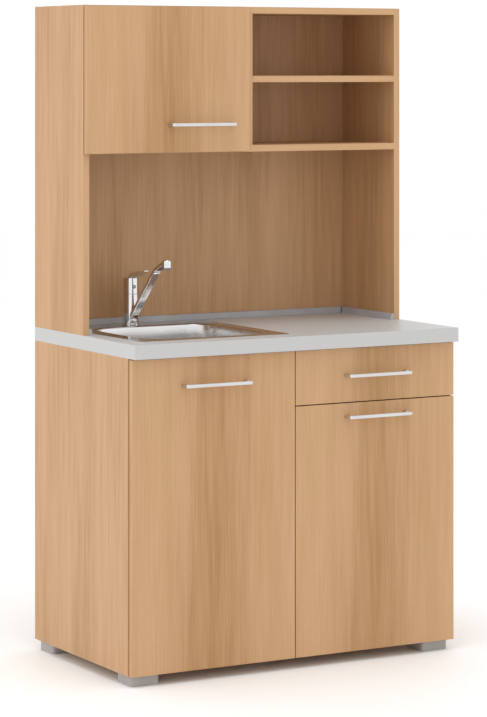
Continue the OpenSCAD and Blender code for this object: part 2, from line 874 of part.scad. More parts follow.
module door_left() door(left_door, -1, hinge_end, left_handle);
module door_right() door(right_door, 1, hinge_end, right_handle);
module door_upper() door(upper_door, -1, upper_hinge_end, upper_handle);

// The cups with their plates, set in a door's back
module hinge_cups(f, side, end) {
    back = f[4] + front_t;
    color(steel)
        for (z = hinge_zs(f, end))
            difference() {
                union() {
                    bar_y(hinge_x(f, side), back - cup_depth, z, cup_r, cup_depth);
                    translate([hinge_x(f, side) - cup_plate[0] / 2, back, z - cup_plate[2] / 2])
                        cube(cup_plate);
                }
                bar_y(hinge_x(f, side), back - cup_depth + cup_wall, z, cup_r - cup_wall, cup_depth + 5);
            }
}

module hinge_cups_door_left() hinge_cups(left_door, -1, hinge_end);
module hinge_cups_door_right() hinge_cups(right_door, 1, hinge_end);
module hinge_cups_door_upper() hinge_cups(upper_door, -1, upper_hinge_end);

// A mounting plate with its arm, on the inner face of a side board
module hinge_arm(side, y, z) {
    plate_start = y + 20;
    arm_start = y + 1;
    translate([side * x_in, 0, z]) mirror([side > 0 ? 1 : 0, 0, 0]) {
        slab([0, plate_start, -arm_plate[2] / 2],
             [arm_plate[0], plate_start + arm_plate[1], arm_plate[2] / 2]);
        difference() {
            slab([arm_plate[0], arm_start, -arm_size[2] / 2],
                 [arm_plate[0] + arm_size[0], arm_start + arm_size[1], arm_size[2] / 2]);
            slab([arm_plate[0] - 1, arm_start - 1, -arm_size[2] / 2 + 1.5],
                 [arm_plate[0] + arm_size[0] - 1.5, arm_start + 14, arm_size[2] / 2 - 1.5]);
        }
    }
}

module hinge_arms() {
    color(steel) {
        for (z = hinge_zs(left_door, hinge_end)) hinge_arm(-1, y_case, z);
        for (z = hinge_zs(right_door, hinge_end)) hinge_arm(1, y_case, z);
        for (z = hinge_zs(upper_door, upper_hinge_end)) hinge_arm(-1, y_hutch, z);
    }
}

// ---- Drawer ----

module drawer_front() {
    color(beech) difference() {
        front_block(drawer_face);
        handle_bores(drawer_handle);
    }
}

module drawer_sides() {
    groove = 5;
    color("ghostwhite") difference() {
        for (x = [box_left, box_right - drawer_t])
            slab([x, box_front, z_box], [x + drawer_t, box_back, z_box + drawer_h]);
        slab([box_left + drawer_t - groove, box_front - 1, z_box_floor],
             [box_right - drawer_t + groove, box_back + 1, z_box_floor + drawer_floor_t]);
    }
}

module drawer_inner_front() {
    color("ghostwhite")
        slab([box_left + drawer_t, box_front, z_box_floor + drawer_floor_t],
             [box_right - drawer_t, box_front + drawer_t, z_box + drawer_h]);
}

module drawer_back() {
    color("ghostwhite")
        slab([box_left + drawer_t, box_back - drawer_t, z_box_floor + drawer_floor_t],
             [box_right - drawer_t, box_back, z_box + drawer_h]);
}

module drawer_bottom() {
    groove = 5;
    color("ghostwhite")
        slab([box_left + drawer_t - groove, box_front, z_box_floor],
             [box_right - drawer_t + groove, box_back, z_box_floor + drawer_floor_t]);
}

// Outer channels on the bay's walls; the inner strips run in them
runner_wall = 1.5;
runner_start = y_case + 3;
runner_len = drawer_d - 6;

module runner_pair() {
    for (side = [-1, 1])
        translate([side < 0 ? x_bay : x_in, runner_start, z_runner])
            mirror([side > 0 ? 1 : 0, 0, 0]) rotate([-90, 0, 0]) linear_extrude(runner_len) children();
}

module runners_fixed() {
    lip = runner_space - 4;
    color(steel) runner_pair() {
        translate([0, -runner_h / 2]) square([runner_wall, runner_h]);
        for (s = [-1, 1])
            translate([0, s * (runner_h - runner_wall) / 2 - runner_wall / 2]) square([lip, runner_wall]);
    }
}

module runners_moving() {
    strip_h = runner_h - 17;
    color(steel) runner_pair() {
        translate([runner_space - runner_wall, -strip_h / 2]) square([runner_wall, strip_h]);
        translate([runner_wall + skin, -strip_h / 4])
            square([runner_space - runner_wall - skin, strip_h / 2]);
    }
}

foot_front_left();
foot_front_right();
foot_rear_left();
foot_rear_right();
base_side_left();
base_side_right();
base_bottom();
base_partition();
base_back();
base_rails_front();
base_rails_rear();
base_shelf();
shelf_pins();
dowels();
cam_locks();
worktop();
upstand();
sink();
sink_clips();
waste_body();
waste_nut();
strainer_basket();
trap();
tap_base_ring();
tap_core();
tap_shank_nut();
tap_inlets();
tap_spout();
tap_aerator();
tap_head();
tap_index();
tap_lever();
hutch_side_left();
hutch_side_right();
hutch_top();
hutch_bottom();
hutch_upright_left();
hutch_upright_right();
hutch_shelf_open();
hutch_shelf_closed();
hutch_back();
door_left();
door_right();
door_upper();
handle_door_left();
handle_door_right();
handle_door_upper();
handle_drawer();
hinge_cups_door_left();
hinge_cups_door_right();
hinge_cups_door_upper();
hinge_arms();
drawer_front();
drawer_sides();
drawer_inner_front();
drawer_back();
drawer_bottom();
runners_fixed();
runners_moving();
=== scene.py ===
import json
import math

import bmesh
import bpy
from mathutils import Matrix, Vector


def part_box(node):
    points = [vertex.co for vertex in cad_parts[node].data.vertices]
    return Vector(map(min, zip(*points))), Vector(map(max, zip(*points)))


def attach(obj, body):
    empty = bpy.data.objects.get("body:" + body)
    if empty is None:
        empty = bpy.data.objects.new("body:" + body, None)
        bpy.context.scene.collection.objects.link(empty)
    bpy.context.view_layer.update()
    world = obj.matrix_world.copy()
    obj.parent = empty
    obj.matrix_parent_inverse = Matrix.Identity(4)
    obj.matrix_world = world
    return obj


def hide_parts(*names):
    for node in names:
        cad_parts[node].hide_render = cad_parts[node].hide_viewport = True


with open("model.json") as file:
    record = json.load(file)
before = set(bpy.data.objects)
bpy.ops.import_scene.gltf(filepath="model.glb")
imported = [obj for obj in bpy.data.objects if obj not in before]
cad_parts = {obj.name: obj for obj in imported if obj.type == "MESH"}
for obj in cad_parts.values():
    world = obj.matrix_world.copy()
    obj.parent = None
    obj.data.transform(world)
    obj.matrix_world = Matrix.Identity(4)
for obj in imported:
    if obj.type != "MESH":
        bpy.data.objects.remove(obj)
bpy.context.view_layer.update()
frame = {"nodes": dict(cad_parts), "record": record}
nodes = frame["nodes"]
bodyOf = {node: body for body, members in frame["record"]["behaviour"]["bodies"].items() for node in members}
mm = 0.001
weld = 0.00001  # metres within which doubled points are merged
axes = {"X": Vector((1, 0, 0)), "Y": Vector((0, 1, 0)), "Z": Vector((0, 0, 1))}


def pickOnly(*pieces):
    if bpy.context.object and bpy.context.object.mode != "OBJECT":
        bpy.ops.object.mode_set(mode="OBJECT")
    bpy.ops.object.select_all(action="DESELECT")
    for piece in pieces:
        piece.select_set(True)
    if pieces:
        bpy.context.view_layer.objects.active = pieces[0]


def editing(piece, mode="VERT"):
    pickOnly(piece)
    bpy.ops.object.mode_set(mode="EDIT")
    bpy.ops.mesh.select_mode(type=mode)


def pickAll():
    bpy.ops.mesh.select_all(action="SELECT")


def pick(kind, rule):
    # kind is verts, edges or faces; rule says which of them are wanted
    piece = bpy.context.edit_object
    bpy.ops.mesh.select_all(action="DESELECT")
    bpy.ops.mesh.select_mode(type={"verts": "VERT", "edges": "EDGE", "faces": "FACE"}[kind])
    mesh = bmesh.from_edit_mesh(piece.data)
    for part in getattr(mesh, kind):
        if rule(part):
            part.select_set(True)
    mesh.select_flush_mode()
    bmesh.update_edit_mesh(piece.data)


def applyModifier(piece, kind, **settings):
    pickOnly(piece)
    bpy.ops.object.modifier_add(type=kind)
    modifier = piece.modifiers[-1]
    for name, value in settings.items():
        setattr(modifier, name, value)
    bpy.ops.object.modifier_apply(modifier=modifier.name)


def smooth(piece, angle=50):
    pickOnly(piece)
    bpy.ops.object.shade_smooth_by_angle(angle=math.radians(angle))
    applyModifier(piece, "WEIGHTED_NORMAL", keep_sharp=True)
    return piece


def roundEdges(piece, width, segments=2, angle=40):
    applyModifier(piece, "BEVEL", width=width * mm, segments=segments, limit_method="ANGLE",
                  angle_limit=math.radians(angle), miter_outer="MITER_ARC")
    return smooth(piece)


def tidyMesh(piece):
    editing(piece)
    pickAll()
    bpy.ops.mesh.remove_doubles(threshold=weld)
    bpy.ops.mesh.normals_make_consistent(inside=False)
    bpy.ops.object.mode_set(mode="OBJECT")
    return piece


def copyOf(piece, name, shift=(0, 0, 0), turn=None):
    made = bpy.data.objects.new(name, piece.data.copy())
    bpy.context.scene.collection.objects.link(made)
    if turn:
        made.data.transform(turn)
        if turn.determinant() < 0:
            made.data.flip_normals()
    made.data.transform(Matrix.Translation(Vector(shift) * mm))
    return made


def boxOf(node):
    # a CAD node's lowest and highest corners, in millimetres
    return [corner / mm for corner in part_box(node)]


def discard(*pieces):
    pickOnly(*pieces)
    bpy.ops.object.delete()


def joined(name, *pieces):
    pickOnly(*pieces)
    if len(pieces) > 1:
        bpy.ops.object.join()
    made = bpy.context.object
    made.name = name
    made.data.name = name
    return made


def combine(piece, tool, operation="DIFFERENCE"):
    applyModifier(piece, "BOOLEAN", object=tool, operation=operation, solver="EXACT")
    discard(tool)
    return piece


def rounded(points, closed=True, steps=5):
    # points are (a, b) or (a, b, radius); a corner that has a radius becomes an arc
    line = []
    for i, point in enumerate(points):
        here = Vector(point[:2])
        radius = point[2] if len(point) > 2 else 0
        if not radius:
            line.append(here)
            continue
        before = (Vector(points[i - 1][:2]) - here).normalized()
        after = (Vector(points[(i + 1) % len(points)][:2]) - here).normalized()
        half = before.angle(after) / 2
        centre = here + (before + after).normalized() * (radius / math.sin(half))
        start = here + before * (radius / math.tan(half)) - centre
        end = here + after * (radius / math.tan(half)) - centre
        first = math.atan2(start.y, start.x)
        sweep = (math.atan2(end.y, end.x) - first + math.pi) % math.tau - math.pi
        for k in range(steps + 1):
            angle = first + sweep * k / steps
            line.append(centre + radius * Vector((math.cos(angle), math.sin(angle))))
    return line


def sketch(name, line, closed=True):
    # one corner is drawn on from point to point of the line, in millimetres
    pickOnly()
    bpy.ops.mesh.primitive_plane_add(size=mm, location=(0, 0, 0))
    piece = bpy.context.object
    piece.name = name
    piece.data.name = name
    editing(piece)
    pickAll()
    bpy.ops.mesh.merge(type="CENTER")
    bpy.ops.transform.translate(value=line[0] * mm)
    for here, there in zip(line, line[1:] + line[:1] if closed else line[1:]):
        bpy.ops.mesh.extrude_region_move(TRANSFORM_OT_translate={"value": (there - here) * mm})
    pickAll()
    bpy.ops.mesh.remove_doubles(threshold=weld)
    return piece


def turned(name, profile, centre, axis="Z", steps=48, solid=False, bends=5):
    # profile is (distance from the axis, height); a solid one starts and ends on the axis
    across = axes["Y" if axis == "X" else "X"]
    flat = rounded(profile, closed=not solid, steps=bends)
    piece = sketch(name, [Vector(centre) + across * p.x + axes[axis] * p.y for p in flat], closed=not solid)
    pickAll()
    bpy.ops.mesh.spin(steps=steps, angle=math.tau, center=Vector(centre) * mm, axis=axes[axis])
    return smooth(tidyMesh(piece))


def sawn(name, outline, axis, low, high, bends=5):
    # an outline across the axis, made into a block from low to high along it
    a, b = {"X": "YZ", "Y": "XZ", "Z": "XY"}[axis]
    flat = rounded(outline, steps=bends)
    piece = sketch(name, [axes[a] * p.x + axes[b] * p.y + axes[axis] * low for p in flat])
    pickAll()
    bpy.ops.mesh.edge_face_add()
    bpy.ops.mesh.extrude_region_move(TRANSFORM_OT_translate={"value": axes[axis] * (high - low) * mm})
    return tidyMesh(piece)


def block(x0, x1, y0, y1, radius=0):
    # the outline of an upright rectangle with round corners
    return [(x0, y0, radius), (x1, y0, radius), (x1, y1, radius), (x0, y1, radius)]


def bridged(name, loops, segments=10):
    # rings of round-cornered rectangles (width, depth, radius, x, y, z), each bridged to the next;
    # they are bridged in a plain stack below the floor and then moved to their places
    gap = 0.05
    rings = []
    for order, (wide, deep, radius, x, y, z) in enumerate(loops):
        where = Vector((0, 0, -gap * (order + 1)))
        pickOnly()
        if radius * 2 >= wide:
            bpy.ops.mesh.primitive_circle_add(vertices=4 * (segments + 1), radius=radius * mm, location=where)
        else:
            bpy.ops.mesh.primitive_plane_add(size=1, location=where)
            editing(bpy.context.object)
            pickAll()
            bpy.ops.transform.resize(value=(wide * mm, deep * mm, 1), center_override=where)
            bpy.ops.mesh.bevel(offset=radius * mm, affect="VERTICES", segments=segments)
            pickAll()
            bpy.ops.mesh.delete(type="ONLY_FACE")
            bpy.ops.object.mode_set(mode="OBJECT")
        rings.append(bpy.context.object)
    piece = joined(name, *rings)
    bpy.ops.object.transform_apply(location=True, rotation=True, scale=True)
    editing(piece, "EDGE")

    def ringOf(vert):
        return round(-vert.co.z / gap) - 1
    for order in range(len(loops) - 1):
        pick("edges", lambda edge: ringOf(edge.verts[0]) == ringOf(edge.verts[1]) in (order, order + 1))
        bpy.ops.mesh.bridge_edge_loops()
    for order, (wide, deep, radius, x, y, z) in enumerate(loops):
        pick("verts", lambda vert: ringOf(vert) == order)
        bpy.ops.transform.translate(value=(x * mm, y * mm, z * mm + gap * (order + 1)))
    bpy.ops.object.mode_set(mode="OBJECT")
    return piece


def finish(piece, *looks):
    piece.data.materials.clear()
    for look in looks:
        piece.data.materials.append(finishes[look])
    return piece


def place(piece, slot, *standsFor, body=None):
    if standsFor:
        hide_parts(*standsFor)
    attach(piece, body or bodyOf[standsFor[0]])
    return piece


class Wire:
    # a socket of a finish; sums and products on it add their Math nodes
    def __init__(self, look, socket):
        self.look, self.socket = look, socket

    def maths(self, operation, a, b):
        return self.look.node("Math", {"operation": operation}, {0: a, 1: b})

    def __add__(self, other):
        return self.maths("ADD", self, other)

    def __radd__(self, other):
        return self.maths("ADD", other, self)

    def __sub__(self, other):
        return self.maths("SUBTRACT", self, other)

    def __rsub__(self, other):
        return self.maths("SUBTRACT", other, self)

    def __mul__(self, other):
        return self.maths("MULTIPLY", self, other)

    def __rmul__(self, other):
        return self.maths("MULTIPLY", other, self)


class Look:
    # a finish: constants go straight on the shader, what varies comes in by wires
    def __init__(self, name, **constants):
        self.material = bpy.data.materials.new(name)
        self.material.use_nodes = True
        self.tree = self.material.node_tree
        self.shader = self.tree.nodes["Principled BSDF"]
        for socket, value in constants.items():
            self.feed(self.shader.inputs[socket.replace("_", " ")], value)

    def feed(self, socket, value):
        if isinstance(value, Wire):
            self.tree.links.new(value.socket, socket)
        elif socket.type == "RGBA":
            socket.default_value = (*value[:3], 1)
        else:
            socket.default_value = value

    def node(self, kind, settings=None, inputs=None, output=0):
        made = self.tree.nodes.new("ShaderNode" + kind)
        for name, value in (settings or {}).items():
            if name == "stops":
                ramp = made.color_ramp.elements
                while len(ramp) < len(value):
                    ramp.new(0.5)
                for stop, (position, colour) in zip(ramp, value):
                    stop.position, stop.color = position, (*colour[:3], 1)
            else:
                setattr(made, name, value)
        for name, value in (inputs or {}).items():
            self.feed(made.inputs[name], value)
        return Wire(self, made.outputs[output])

    def where(self, scale=(1, 1, 1), shift=(0, 0, 0), origin=None):
        point = self.node("TexCoord", output="Object")
        if origin:
            start = self.node("Attribute", {"attribute_name": origin}, output="Vector")
            point = self.node("VectorMath", {"operation": "SUBTRACT"}, {0: point, 1: start})
        return self.node("Mapping", {}, {"Vector": point, "Scale": scale, "Location": shift})

    def noise(self, point, scale, detail=2.0, roughness=0.5):
        return self.node("TexNoise", {}, {"Vector": point, "Scale": scale, "Detail": detail,
                                          "Roughness": roughness}, output="Fac")

    def between(self, wire, low, high, toLow=0.0, toHigh=1.0):
        # a smooth step from toLow, where the wire is at low, to toHigh, where it is at high
        return self.node("MapRange", {"interpolation_type": "SMOOTHSTEP"}, {
            "Value": wire, "From Min": low, "From Max": high, "To Min": toLow, "To Max": toHigh})

    def mixed(self, factor, a, b, blend="MIX"):
        return self.node("Mix", {"data_type": "RGBA", "blend_type": blend},
                         {0: factor, 6: a, 7: b}, output=2)

    def bump(self, height, strength, distance):
        return self.node("Bump", {}, {"Height": height, "Strength": strength, "Distance": distance})

    def wear(self, **wires):
        for socket, wire in wires.items():
            self.feed(self.shader.inputs[socket.replace("_", " ")], wire)
        return self.material


def tone(red, green, blue, gain=1.0):
    # a display colour as the shader's linear one
    def linear(value):
        value /= 255
        return value / 12.92 if value <= 0.04045 else ((value + 0.055) / 1.055) ** 2.4
    return tuple(gain * linear(v) for v in (red, green, blue))


beech = {
    "light": tone(203, 163, 121), "tan": tone(191, 150, 107), "dark": tone(169, 127, 79),
    "rose": tone(203, 158, 121), "fleck": tone(150, 108, 70),
    "patterns": {  # share of the scale that is left along the grain, shift, scale, detail, roughness
        "broad": (0.10, (0, 0, 0), 9, 1.5, 0.5),
        "strips": (0.045, (3.1, 1.7, 0.4), 60, 2.5, 0.5),
        "streaks": (0.022, (0.6, 5.2, 2.3), 210, 3, 0.6),
        "flecks": (0.10, (1.9, 0.3, 4.4), 1300, 1, 0.4),
        "rosy": (0.05, (7.7, 2.9, 6.1), 34, 1.5, 0.5),
    },
    "broadPart": 0.26, "stripPart": 0.28, "streakPart": 0.34,
    "rosyPart": 0.3, "fleckPart": 0.22, "edgePart": 0.3,
    "ground": 0.04, "heart": 0.50, "heartWidth": 0.19, "heartWaver": 0.10,
}


def beechLook(name, along, heart=False, edge=False):
    # along is the grain's axis; heart darkens the middle of a board across the grain
    look = Look(name, Specular_IOR_Level=0.42)

    def pattern(share, shift, scale, detail, roughness):
        squeeze = tuple(share if axis == along else 1 for axis in "XYZ")
        return look.noise(look.where(squeeze, shift, "boardOrigin"), scale, detail, roughness)
    broad, strips, streaks, flecks, rosy = [pattern(*values) for values in beech["patterns"].values()]
    depth = (look.between(broad, 0.34, 0.68) * beech["broadPart"]
             + look.between(strips, 0.32, 0.68) * beech["stripPart"]
             + look.between(streaks, 0.30, 0.70) * beech["streakPart"])
    if heart:
        across = look.node("SeparateXYZ", {}, {"Vector": look.where(origin="boardOrigin")}, output="X")
        waver = (broad - 0.5) * beech["heartWaver"]
        ridge = look.node("Math", {"operation": "ABSOLUTE"}, {0: across + waver})
        depth = depth * 0.7 + look.between(ridge, 0.01, beech["heartWidth"], beech["heart"], 0.0)
    else:
        depth = depth + beech["ground"]
    stops = [(0.0, beech["light"]), (0.5, beech["tan"]), (1.0, beech["dark"])]
    colour = look.node("ValToRGB", {"stops": stops}, {"Fac": depth})
    colour = look.mixed(look.between(rosy, 0.45, 0.68, 0, beech["rosyPart"]), colour, beech["rose"])
    colour = look.mixed(look.between(flecks, 0.60, 0.74, 0, beech["fleckPart"]), colour, beech["fleck"])
    if edge:
        colour = look.mixed(beech["edgePart"], colour, beech["light"])
    return look.wear(Base_Color=colour, Roughness=look.between(streaks, 0.2, 0.8, 0.40, 0.52),
                     Normal=look.bump(flecks, 0.12, 0.0002))


print("stage: finishes")
finishes = {
    "frontZ": beechLook("beechFront", "Z", heart=True),
    "Z": beechLook("beechUpright", "Z"),
    "X": beechLook("beechLevel", "X"),
    "edgeZ": beechLook("beechEdgeUpright", "Z", edge=True),
    "edgeX": beechLook("beechEdgeLevel", "X", edge=True),
    "edgeY": beechLook("beechEdgeDeep", "Y", edge=True),
}


def laminateLook():
    look = Look("worktopLaminate", Specular_IOR_Level=0.45)
    grain = look.noise(look.where(), 900, 3, 0.6)
    cloud = look.noise(look.where(), 6, 2)
    colour = look.mixed(look.between(grain, 0.35, 0.65), tone(188, 188, 188), tone(196, 196, 195))
    colour = look.mixed(look.between(cloud, 0.3, 0.7, 0, 0.25), colour, tone(194, 193, 190))
    return look.wear(Base_Color=colour, Roughness=look.between(grain, 0.3, 0.7, 0.34, 0.44),
                     Normal=look.bump(grain, 0.10, 0.0002))


def plasticLook(name, colour, dark, rough, grainScale=700, strength=0.2):
    look = Look(name, Specular_IOR_Level=0.4)
    grain = look.noise(look.where(), grainScale, 2)
    cloud = look.noise(look.where(), 12, 3)
    shade = look.mixed(look.between(cloud, 0.3, 0.7), colour, dark)
    return look.wear(Base_Color=shade, Roughness=look.between(cloud, 0.25, 0.75, rough - 0.06, rough + 0.06),
                     Normal=look.bump(grain, strength, 0.0002))


def metalLook(name, colour, rough, brushed=None, brush=0.06, smear=0.02):
    # brushed gives the squeeze of the fine lines along each axis
    look = Look(name, Metallic=1.0)
    cloud = look.noise(look.where(), 9, 3)
    shade = look.mixed(look.between(cloud, 0.3, 0.7, 0, 0.6), colour, tuple(0.9 * c for c in colour))
    roughness = look.between(cloud, 0.25, 0.75, rough - smear, rough + smear)
    if not brushed:
        return look.wear(Base_Color=shade, Roughness=roughness)
    lines = look.noise(look.where(brushed), 1400, 2, 0.6)
    return look.wear(Base_Color=shade, Roughness=roughness + (lines - 0.5) * brush,
                     Normal=look.bump(lines, 0.10, 0.0001))


finishes.update({
    "laminate": laminateLook(),
    "upstand": plasticLook("upstandPlastic", tone(176, 177, 180), tone(164, 165, 169), 0.42),
    "foot": plasticLook("footPlastic", tone(172, 169, 166), tone(163, 160, 158), 0.5, 500, 0.3),
    "sink": metalLook("sinkSteel", (0.80, 0.795, 0.79), 0.26, (1, 0.02, 1), 0.025, 0.02),
    "sinkRim": metalLook("sinkRimSteel", (0.53, 0.525, 0.52), 0.13, smear=0.02),
    "chrome": metalLook("tapChrome", (0.86, 0.86, 0.88), 0.06),
    "brass": metalLook("tapBrass", (0.72, 0.53, 0.26), 0.26, (1, 1, 0.05)),
    "handle": metalLook("handleSatin", (0.72, 0.72, 0.73), 0.30, (0.03, 1, 1), 0.08, 0.02),
    "nickel": metalLook("fittingNickel", (0.70, 0.69, 0.67), 0.30),
    "zinc": metalLook("runnerZinc", (0.66, 0.67, 0.68), 0.36, (1, 0.03, 1)),
    "whiteFoil": plasticLook("drawerFoil", tone(232, 231, 226), tone(226, 225, 219), 0.45, 1200, 0.1),
    "whitePlastic": plasticLook("drainPlastic", tone(236, 236, 234), tone(226, 226, 222), 0.32, 300, 0.1),
    "greyPlastic": plasticLook("aeratorPlastic", tone(128, 128, 130), tone(110, 110, 113), 0.4),
    "buttonRing": plasticLook("buttonRing", tone(96, 96, 98), tone(84, 84, 86), 0.3, 300, 0.05),
    # the white centre of the tap's button is a painted highlight
    "buttonPaintedHighlight": plasticLook("buttonPaintedHighlight", tone(236, 236, 236), tone(228, 228, 228), 0.25, 300, 0.05),
})


boards = {  # node: [piece's name, grain axis, faces' finish]
    "base_side_left": ["sideLeft", "Z", "Z"], "base_side_right": ["sideRight", "Z", "Z"],
    "base_bottom": ["bottomBoard", "X", "X"], "base_partition": ["partition", "Z", "Z"],
    "base_back": ["backLower", "Z", "Z"], "base_rails_front": ["railsFront", "X", "X"],
    "base_rails_rear": ["railsRear", "X", "X"], "base_shelf": ["shelfLower", "X", "X"],
    "hutch_side_left": ["upperSideLeft", "Z", "Z"], "hutch_side_right": ["upperSideRight", "Z", "Z"],
    "hutch_top": ["upperTop", "X", "X"], "hutch_bottom": ["upperBottom", "X", "X"],
    "hutch_upright_left": ["uprightLeft", "Z", "Z"], "hutch_upright_right": ["uprightRight", "Z", "Z"],
    "hutch_shelf_open": ["shelfOpen", "X", "X"], "hutch_shelf_closed": ["shelfClosed", "X", "X"],
    "hutch_back": ["backUpper", "Z", "Z"],
    "door_left": ["doorLeft", "Z", "frontZ"], "door_right": ["doorRight", "Z", "frontZ"],
    "door_upper": ["doorUpper", "Z", "frontZ"], "drawer_front": ["drawerFront", "Z", "frontZ"],
}
boardEdge = {"width": 0.8, "segments": 2}


def solidCopy(name, node):
    # a merged copy of a CAD node, with flat faces in one piece
    made = bpy.data.objects.new(name, nodes[node].data.copy())
    bpy.context.scene.collection.objects.link(made)
    editing(made)
    pickAll()
    bpy.ops.mesh.customdata_custom_splitnormals_clear()
    bpy.ops.mesh.remove_doubles(threshold=weld)
    bpy.ops.mesh.dissolve_limited(angle_limit=math.radians(0.5))
    bpy.ops.object.mode_set(mode="OBJECT")
    return made


def setOrigin(piece, point):
    # the point that the grain is measured from
    start = piece.data.attributes.new("boardOrigin", "FLOAT_VECTOR", "POINT")
    start.data.foreach_set("vector", list(point) * len(piece.data.vertices))


def makeBoard(node, name, grain, face):
    piece = solidCopy(name, node)
    low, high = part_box(node)
    size = high - low
    flat = 2 if node.startswith("base_rails") else min(range(3), key=lambda axis: size[axis])
    roundEdges(piece, **boardEdge)
    finish(piece, face, "edge" + grain)
    for side in piece.data.polygons:
        side.material_index = 0 if abs(side.normal[flat]) > 0.7 else 1
    setOrigin(piece, (low + high) / 2)
    place(piece, "beech", node)


for node, (name, grain, face) in boards.items():
    makeBoard(node, name, grain, face)
print("stage: boards")

plainBoards = {  # node: [piece's name, finish, slot, edge rounding]
    "worktop": ["worktop", "laminate", "worktop_laminate", 1.2],
    "upstand": ["upstand", "upstand", "upstand_plastic", 1.0],
    "drawer_sides": ["drawerSides", "whiteFoil", "drawer_white", 0.6],
    "drawer_inner_front": ["drawerInnerFront", "whiteFoil", "drawer_white", 0.6],
    "drawer_back": ["drawerBack", "whiteFoil", "drawer_white", 0.6],
    "drawer_bottom": ["drawerBottom", "whiteFoil", "drawer_white", 0.5],
    "runners_fixed": ["runnerChannels", "zinc", "runner_steel", 0.35],
    "runners_moving": ["runnerStrips", "zinc", "runner_steel", 0.35],
    "sink_clips": ["sinkClips", "nickel", "fittings_steel", 0.4],
}
for node, (name, look, slot, edge) in plainBoards.items():
    place(finish(roundEdges(solidCopy(name, node), edge), look), slot, node)
print("stage: worktop, upstand, drawer")


footSizes = {"corner": 10, "bottomEdge": 1.6, "topEdge": 0.8, "pad": 12, "padDrop": 1.2}


def makeFoot(node, name):
    # a moulded block, standing on a flat rim round a hollow
    low, high = boxOf(node)
    middle = (low + high) / 2
    wide, corner, pad, hollow = high.x - low.x, footSizes["corner"], footSizes["pad"], footSizes["padDrop"]
    bottom, top = footSizes["bottomEdge"], footSizes["topEdge"]
    rings = [(wide - 2 * pad - 2, hollow), (wide - 2 * pad, 0), (wide - 2 * bottom, 0),
             (wide - 0.6 * bottom, 0.3 * bottom), (wide, bottom), (wide, high.z - top),
             (wide - 0.6 * top, high.z - 0.3 * top), (wide - 2 * top, high.z)]
    piece = bridged(name, [(w, w, corner - (wide - w) * 0.4 if wide - w < 8 else 4, middle.x, middle.y, z)
                           for w, z in rings], segments=6)
    editing(piece, "EDGE")
    bpy.ops.mesh.select_non_manifold()
    bpy.ops.mesh.edge_face_add()
    tidyMesh(piece)
    place(finish(smooth(piece, 35), "foot"), "foot_plastic", node)


for node in nodes:
    if node.startswith("foot_"):
        front, side = node.split("_")[1:]
        makeFoot(node, "foot" + front.capitalize() + side.capitalize())
print("stage: feet")


screwSizes = {"radius": 4.0, "height": 2.5, "recess": 1.5, "slot": 0.9}


def makeScrewHead():
    # a pan head that looks up the Z axis, with its top at the origin
    radius, height, slot = screwSizes["radius"], screwSizes["height"], screwSizes["slot"]
    profile = [(0, -height), (radius, -height, 0.3), (radius, -0.9, 0.8), (0.4 * radius, 0, 2), (0, 0)]
    head = turned("screwHead", profile, (0, 0, 0), steps=24, solid=True, bends=3)
    for turn in (False, True):
        a, b = (0.55 * radius, slot / 2) if turn else (slot / 2, 0.55 * radius)
        combine(head, sawn("recess", block(-a, a, -b, b), "Z", -screwSizes["recess"], 1))
    return head


facing = {
    "up": Matrix.Identity(4), "down": Matrix.Rotation(math.pi, 4, "X"),
    "+Y": Matrix.Rotation(-math.pi / 2, 4, "X"), "-Y": Matrix.Rotation(math.pi / 2, 4, "X"),
    "+X": Matrix.Rotation(math.pi / 2, 4, "Y"), "-X": Matrix.Rotation(-math.pi / 2, 4, "Y"),
}
screwHead = makeScrewHead()


def screwAt(point, way, size=1.0):
    return copyOf(screwHead, "screw", point, facing[way] @ Matrix.Scale(size, 4))


handleSizes = {
    "length": 200, "height": 9, "bar": 6, "reach": 32, "bend": 7, "innerBend": 2.2,
    "footWide": 12, "footDeep": 14, "edge": 1.2, "frontThick": 18,
}


def makeHandleBar():
    s = handleSizes
    half, thick, reach = s["length"] / 2, s["bar"], s["reach"]
    foot, deep = s["footWide"], s["footDeep"]
    right = [(half, -reach, s["bend"]), (half, 0), (half - foot, 0), (half - foot, -deep, 2.5),
             (half - thick, -deep - 4, 2.5), (half - thick, thick - reach, s["innerBend"])]
    left = [(-point[0], *point[1:]) for point in reversed(right)]
    bar = sawn("handleBar", right + left, "Z", -s["height"] / 2, s["height"] / 2, bends=6)
    return roundEdges(bar, s["edge"], 3)


handleBar = makeHandleBar()
handleNames = {"handle_door_left": "handleLeft", "handle_door_right": "handleRight",
               "handle_door_upper": "handleUpper", "handle_drawer": "handleDrawer"}
for node, name in handleNames.items():
    low, high = boxOf(node)
    middle = (low + high) / 2
    face = low.y + handleSizes["reach"]
    place(finish(copyOf(handleBar, name, (middle.x, face, middle.z)), "handle"), "handle_metal", node)
    screwX = (handleSizes["length"] - handleSizes["footWide"]) / 2
    back = face + handleSizes["frontThick"] - 0.5
    screws = [screwAt((middle.x + side * screwX, back, middle.z), "+Y") for side in (-1, 1)]
    place(finish(joined(name + "Screws", *screws), "nickel"), "fittings_steel", body=bodyOf[node])
discard(handleBar)
print("stage: handles")


sinkSizes = {
    "rimRadius": 14, "rimHeight": 1.8, "ledge": 1.5, "mouthBead": 8,
    "rim": [  # inset, rise
        (0, 0.02), (0, 1.0), (0.25, 1.4), (0.8, 1.68), (1.8, 1.8), (9, 1.8), (11.5, 1.7), (13, 1.5)],
    "bowl": 360, "bowlRadius": 60, "depth": 150, "upperWall": (30, 2.6),  # drop, inset
    "draft": 5, "fillet": 26, "fall": 1.5, "dish": [(62, 0.3), (57, 0)],  # radius, rise
    "hole": 45.5, "seat": 3, "sheet": 1.1,
}


